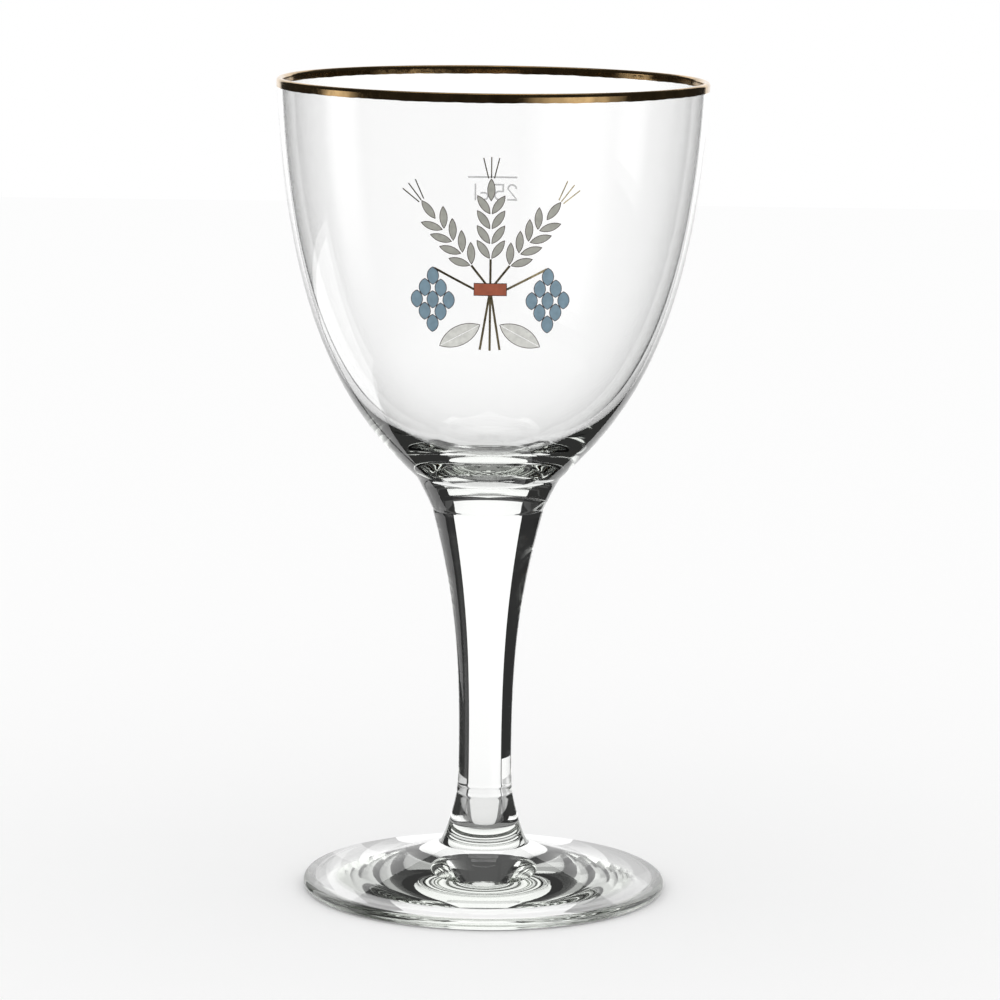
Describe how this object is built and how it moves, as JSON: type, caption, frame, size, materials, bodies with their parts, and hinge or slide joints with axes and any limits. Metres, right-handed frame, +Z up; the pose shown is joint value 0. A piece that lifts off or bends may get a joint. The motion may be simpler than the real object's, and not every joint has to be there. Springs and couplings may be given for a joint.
{
  "type": "chalice beer glass",
  "caption": "Stemmed chalice beer glass: a deep clear bowl with a gilded lip and a fired enamel sheaf emblem, on a flared solid stem and a round foot.",
  "frame": {"origin": "on the table, at the middle of the foot", "axes": "+Z up the glass's own axis, -Y out through the emblem"},
  "size_m": [0.0984, 0.0984, 0.1882],
  "materials": {
    "bowl_glass": "clear blown soda-lime glass",
    "stem_glass": "clear fire-polished soda-lime glass",
    "foot_glass": "clear pressed soda-lime glass",
    "gold_band": "fired bright gold",
    "grey_enamel": "fired warm grey enamel",
    "blue_enamel": "fired blue-grey enamel",
    "white_enamel": "fired off-white enamel",
    "terracotta_enamel": "fired terracotta enamel",
    "dark_enamel": "fired dark brown enamel",
    "lustre_line": "fired gold lustre, worn",
    "mark_enamel": "fired pale enamel"
  },
  "bodies": {
    "root": {"bowl": "bowl_glass", "stem": "stem_glass", "foot": "foot_glass", "rim_gilding": "gold_band", "emblem_grain": "grey_enamel", "emblem_hop": "blue_enamel", "emblem_leaf": "white_enamel", "emblem_tie": "terracotta_enamel", "emblem_outline": "dark_enamel", "emblem_lustre": "lustre_line", "fill_line": "mark_enamel", "capacity_figure": "mark_enamel"}
  },
  "joints": []
}
